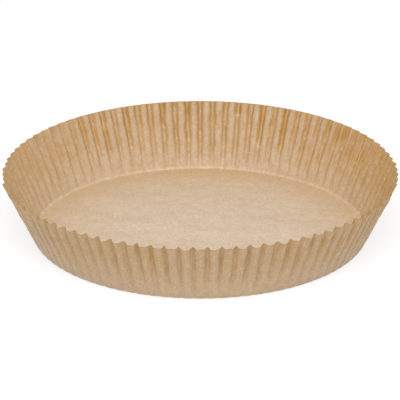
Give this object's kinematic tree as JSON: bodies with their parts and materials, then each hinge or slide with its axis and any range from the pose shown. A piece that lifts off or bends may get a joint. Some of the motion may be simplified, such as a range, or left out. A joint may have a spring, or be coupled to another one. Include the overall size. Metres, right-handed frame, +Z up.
{
  "type": "air fryer paper liner",
  "caption": "Round dish of thin kraft greaseproof paper with a flat floor and a pleated, outward-leaning wall, laid in a frying basket to catch fat and crumbs.",
  "frame": {"origin": "centre of the floor's underside, on the surface that the liner rests on", "axes": "+Z up along the round dish's axis, from the floor to the open rim"},
  "size_m": [0.2374, 0.2376, 0.0399],
  "materials": {
    "kraft_greaseproof_paper": "matte"
  },
  "bodies": {
    "root": {"paper_liner": "kraft_greaseproof_paper"}
  },
  "joints": []
}
